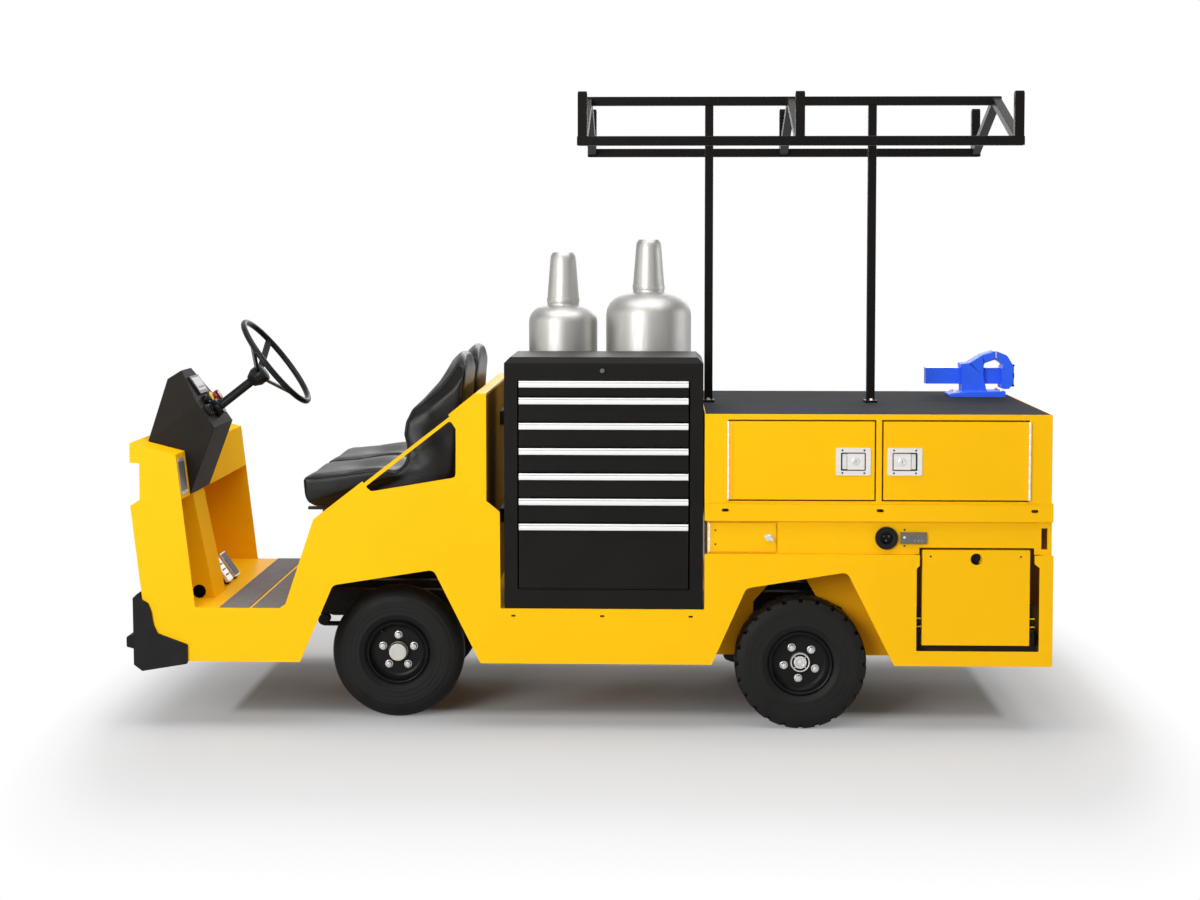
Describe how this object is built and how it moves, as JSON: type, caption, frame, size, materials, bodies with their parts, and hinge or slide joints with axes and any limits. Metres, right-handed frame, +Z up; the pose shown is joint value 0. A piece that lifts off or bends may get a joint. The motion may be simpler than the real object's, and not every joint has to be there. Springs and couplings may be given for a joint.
{
  "type": "industrial utility vehicle",
  "caption": "Electric burden carrier fitted out as a mobile workshop: seats, tool chest with drawers, gas bottles, rear cabinet with work deck and vise, and an overhead pipe rack.",
  "frame": {"origin": "on the ground under the middle of the bounding box", "axes": "-X to the front of the vehicle, -Y to the driver's left, +Z up"},
  "size_m": [3.182, 1.12, 2.196],
  "materials": {
    "yellow_paint": "semi-gloss powder coat",
    "black_paint": "satin powder coat",
    "black_steel": "satin chassis paint",
    "wheel_paint": "satin paint",
    "blue_paint": "gloss enamel",
    "bottle_steel": "smooth satin",
    "tyre": "matt",
    "grip_mat": "grained",
    "deck_rubber": "fine grain",
    "bumper_plastic": "grained",
    "console_plastic": "fine grain",
    "control_plastic": "smooth",
    "rim_plastic": "smooth",
    "seat_vinyl": "grained vinyl",
    "lamp_glass": "clear"
  },
  "bodies": {
    "body": {"chassis": "black_steel", "side_left": "yellow_paint", "side_right": "yellow_paint", "front_shell": "yellow_paint", "lamps": "lamp_glass", "bumper": "bumper_plastic", "floor_pan": "yellow_paint", "floor_mats": "grip_mat", "column_post": "yellow_paint", "console": "console_plastic", "controls": "control_plastic", "pedals": "black_steel", "steering_column": "console_plastic", "seat_box": "yellow_paint", "cab_wall": "yellow_paint", "seat_cushions": "seat_vinyl", "seat_backs": "seat_vinyl", "seat_slides": "black_steel", "bay_floor": "yellow_paint", "tool_chest": "black_paint", "bottle_rack": "black_paint", "gas_bottles": "bottle_steel", "deck_frame": "yellow_paint", "service_fittings": "control_plastic", "battery": "yellow_paint", "cabinet": "yellow_paint", "deck_mat": "deck_rubber", "rack_posts": "black_paint", "rack_frame": "black_paint", "vise_body": "blue_paint", "wheelhouses": "yellow_paint", "front_axle": "black_steel", "leaf_springs": "black_steel", "rear_axle": "black_steel"},
    "steering": {"steering_wheel": "rim_plastic"},
    "knuckle_left": {"knuckle_left": "black_steel"},
    "knuckle_right": {"knuckle_right": "black_steel"},
    "tie_rod": {"tie_rod": "black_steel"},
    "door_left_front": {"door_left_front": "yellow_paint"},
    "door_left_rear": {"door_left_rear": "yellow_paint"},
    "door_right_front": {"door_right_front": "yellow_paint"},
    "door_right_rear": {"door_right_rear": "yellow_paint"},
    "service_door": {"service_door": "yellow_paint"},
    "vise_slide": {"vise_slide": "blue_paint"},
    "drawer_1": {"drawer_1": "black_paint"},
    "drawer_2": {"drawer_2": "black_paint"},
    "drawer_3": {"drawer_3": "black_paint"},
    "drawer_4": {"drawer_4": "black_paint"},
    "drawer_5": {"drawer_5": "black_paint"},
    "drawer_6": {"drawer_6": "black_paint"},
    "drawer_7": {"drawer_7": "black_paint"},
    "wheel_front_left": {"tyre_front_left": "tyre", "rim_front_left": "wheel_paint"},
    "wheel_front_right": {"tyre_front_right": "tyre", "rim_front_right": "wheel_paint"},
    "wheel_rear_left": {"tyre_rear_left": "tyre", "rim_rear_left": "wheel_paint"},
    "wheel_rear_right": {"tyre_rear_right": "tyre", "rim_rear_right": "wheel_paint"}
  },
  "joints": [
    {"name": "steering_turn", "type": "hinge", "parent": "body", "child": "steering", "pos_m": [-1.163, -0.26, 1.202], "axis": [0.788, 0, 0.6157], "range_deg": [-450, 450]},
    {"name": "steer_left", "type": "hinge", "parent": "body", "child": "knuckle_left", "pos_m": [-0.664, -0.247, 0.232], "axis": [0, 0, 1], "range_deg": [-30, 30]},
    {"name": "steer_right", "type": "hinge", "parent": "body", "child": "knuckle_right", "pos_m": [-0.664, 0.247, 0.232], "axis": [0, 0, 1], "range_deg": [-30, 30]},
    {"name": "tie_rod_swing", "type": "hinge", "parent": "knuckle_left", "child": "tie_rod", "pos_m": [-0.534, -0.221, 0.198], "axis": [0, 0, 1], "range_deg": [-30, 30]},
    {"name": "roll_front_left", "type": "hinge", "parent": "knuckle_left", "child": "wheel_front_left", "pos_m": [-0.664, -0.322, 0.232], "axis": [0, 1, 0], "continuous": true},
    {"name": "roll_front_right", "type": "hinge", "parent": "knuckle_right", "child": "wheel_front_right", "pos_m": [-0.664, 0.322, 0.232], "axis": [0, 1, 0], "continuous": true},
    {"name": "roll_rear_left", "type": "hinge", "parent": "body", "child": "wheel_rear_left", "pos_m": [0.74, -0.44, 0.226], "axis": [0, 1, 0], "continuous": true},
    {"name": "roll_rear_right", "type": "hinge", "parent": "body", "child": "wheel_rear_right", "pos_m": [0.74, 0.44, 0.226], "axis": [0, 1, 0], "continuous": true},
    {"name": "drawer_1_slide", "type": "slide", "parent": "body", "child": "drawer_1", "axis": [0, -1, 0], "range_m": [0, 0.36]},
    {"name": "drawer_2_slide", "type": "slide", "parent": "body", "child": "drawer_2", "axis": [0, -1, 0], "range_m": [0, 0.36]},
    {"name": "drawer_3_slide", "type": "slide", "parent": "body", "child": "drawer_3", "axis": [0, -1, 0], "range_m": [0, 0.36]},
    {"name": "drawer_4_slide", "type": "slide", "parent": "body", "child": "drawer_4", "axis": [0, -1, 0], "range_m": [0, 0.36]},
    {"name": "drawer_5_slide", "type": "slide", "parent": "body", "child": "drawer_5", "axis": [0, -1, 0], "range_m": [0, 0.36]},
    {"name": "drawer_6_slide", "type": "slide", "parent": "body", "child": "drawer_6", "axis": [0, -1, 0], "range_m": [0, 0.36]},
    {"name": "drawer_7_slide", "type": "slide", "parent": "body", "child": "drawer_7", "axis": [0, -1, 0], "range_m": [0, 0.36]},
    {"name": "door_left_front_swing", "type": "hinge", "parent": "body", "child": "door_left_front", "pos_m": [0.488, -0.5503, 0.933], "axis": [0, 0, -1], "range_deg": [0, 100]},
    {"name": "door_left_rear_swing", "type": "hinge", "parent": "body", "child": "door_left_rear", "pos_m": [1.504, -0.5503, 0.933], "axis": [0, 0, 1], "range_deg": [0, 100]},
    {"name": "door_right_front_swing", "type": "hinge", "parent": "body", "child": "door_right_front", "pos_m": [0.488, 0.5503, 0.933], "axis": [0, 0, 1], "range_deg": [0, 100]},
    {"name": "door_right_rear_swing", "type": "hinge", "parent": "body", "child": "door_right_rear", "pos_m": [1.504, 0.5503, 0.933], "axis": [0, 0, -1], "range_deg": [0, 100]},
    {"name": "service_door_swing", "type": "hinge", "parent": "body", "child": "service_door", "pos_m": [0.424, -0.5393, 0.669], "axis": [0, 0, -1], "range_deg": [0, 100]},
    {"name": "vise_travel", "type": "slide", "parent": "body", "child": "vise_slide", "axis": [1, 0, 0], "range_m": [0, 0.12]}
  ],
  "couplings": [
    {"joint": "steer_left", "follows": "steering_turn", "ratio": 0.066667},
    {"joint": "steer_right", "follows": "steering_turn", "ratio": 0.066667},
    {"joint": "tie_rod_swing", "follows": "steering_turn", "ratio": -0.066667}
  ]
}
